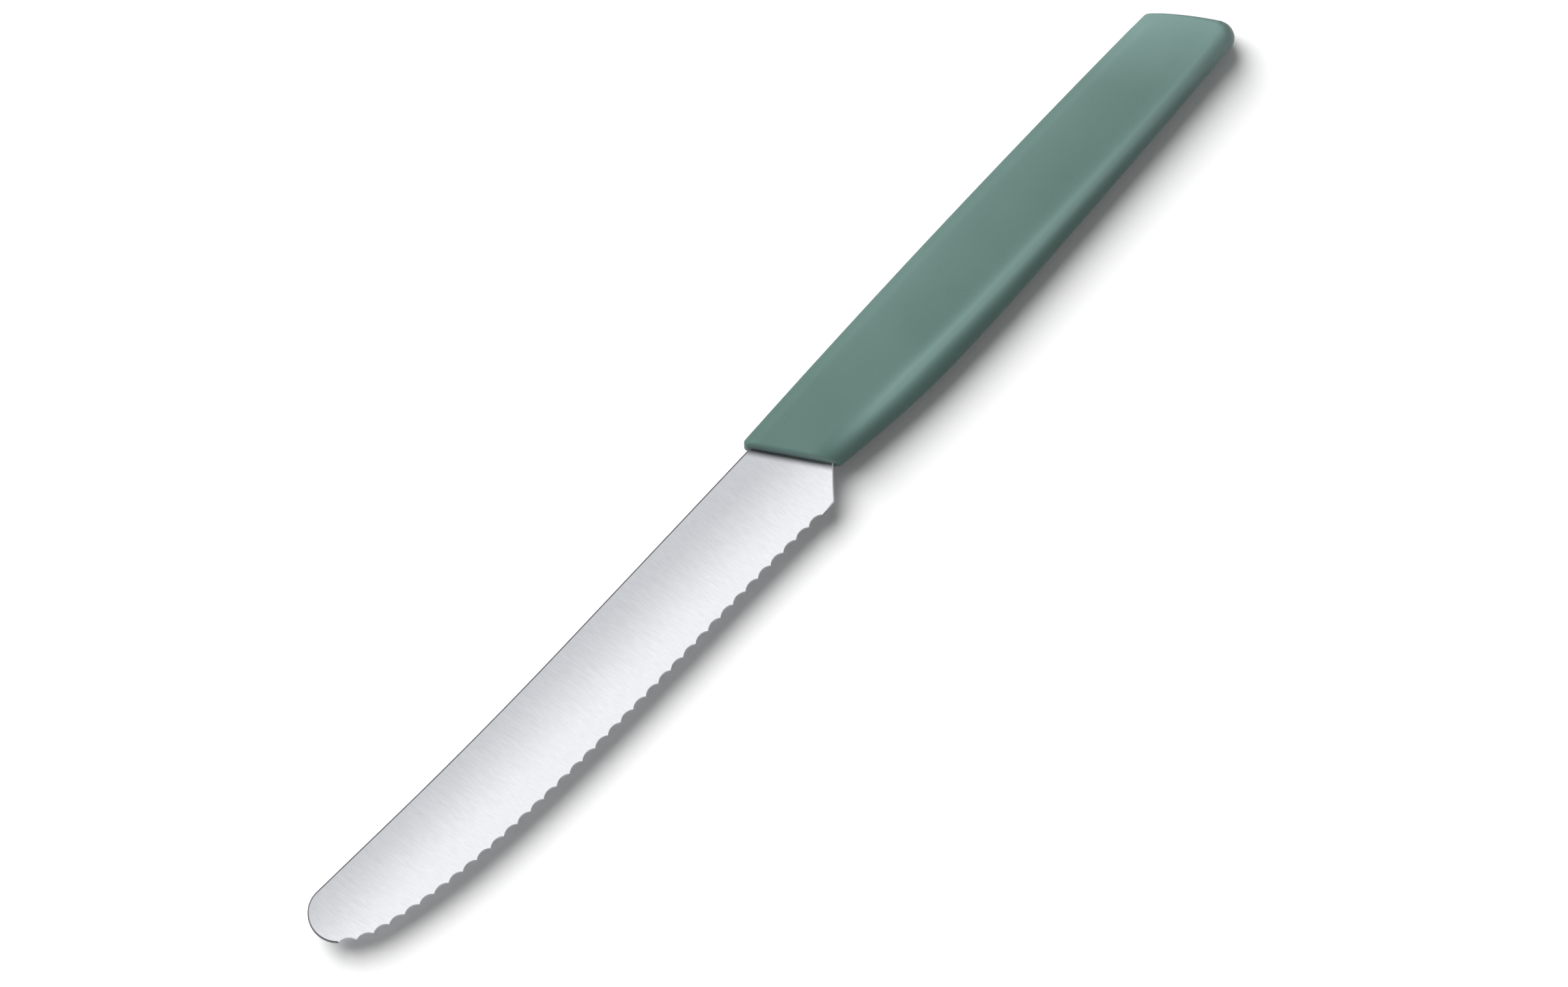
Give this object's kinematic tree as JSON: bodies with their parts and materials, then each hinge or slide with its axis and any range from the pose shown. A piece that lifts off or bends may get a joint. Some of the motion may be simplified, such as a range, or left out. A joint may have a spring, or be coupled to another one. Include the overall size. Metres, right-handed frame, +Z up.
{
  "type": "tomato knife",
  "caption": "Tomato knife with a round-tipped, finely scalloped steel blade and a flat-sided green moulded plastic handle, lying on its side.",
  "frame": {"origin": "on the handle's flat underside, under the middle of the handle's length and width", "axes": "+X along the handle towards the blade's tip, +Y from the spine towards the cutting edge, +Z up from the surface that the knife lies on"},
  "size_m": [0.2108, 0.024, 0.01],
  "materials": {
    "blade_steel": "satin",
    "handle_plastic": "matte"
  },
  "bodies": {
    "root": {"blade": "blade_steel", "handle": "handle_plastic"}
  },
  "joints": []
}
